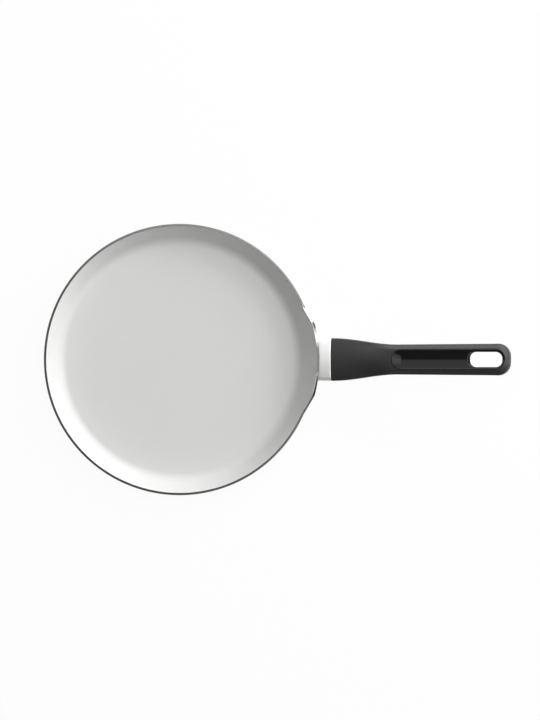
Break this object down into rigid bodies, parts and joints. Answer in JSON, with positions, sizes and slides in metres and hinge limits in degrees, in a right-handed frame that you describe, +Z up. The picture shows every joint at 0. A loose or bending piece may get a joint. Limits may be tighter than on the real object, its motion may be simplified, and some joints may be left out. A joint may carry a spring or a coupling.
{
  "type": "crepe pan",
  "caption": "Low-walled crepe pan with a flat ceramic-coated cooking surface, a perforated induction base, a steel ferrule and a rising moulded handle with a hanging slot.",
  "frame": {"origin": "centre of the flat face under the base that the pan rests on", "axes": "+X from the pan's centre along the handle, +Y across it, +Z up out of the cooking surface"},
  "size_m": [0.4468, 0.26, 0.0636],
  "materials": {
    "pan_aluminium": "ceramic non-stick coat inside, dark grey enamel outside",
    "disc_steel": "brushed in circles",
    "stud_aluminium": "bare",
    "plated_steel": "zinc plated",
    "ferrule_steel": "satin stainless",
    "grip_plastic": "matte soft-touch moulding",
    "inlay_plastic": "gloss black"
  },
  "bodies": {
    "root": {"pan_body": "pan_aluminium", "induction_disc": "disc_steel", "weld_studs": "stud_aluminium", "stud_washers": "plated_steel", "handle_bracket": "plated_steel", "bracket_nut": "plated_steel", "ferrule": "ferrule_steel", "handle_grip": "grip_plastic", "grip_inlay": "inlay_plastic", "handle_screw": "plated_steel", "lock_washer": "plated_steel", "flat_washer": "plated_steel"}
  },
  "joints": []
}
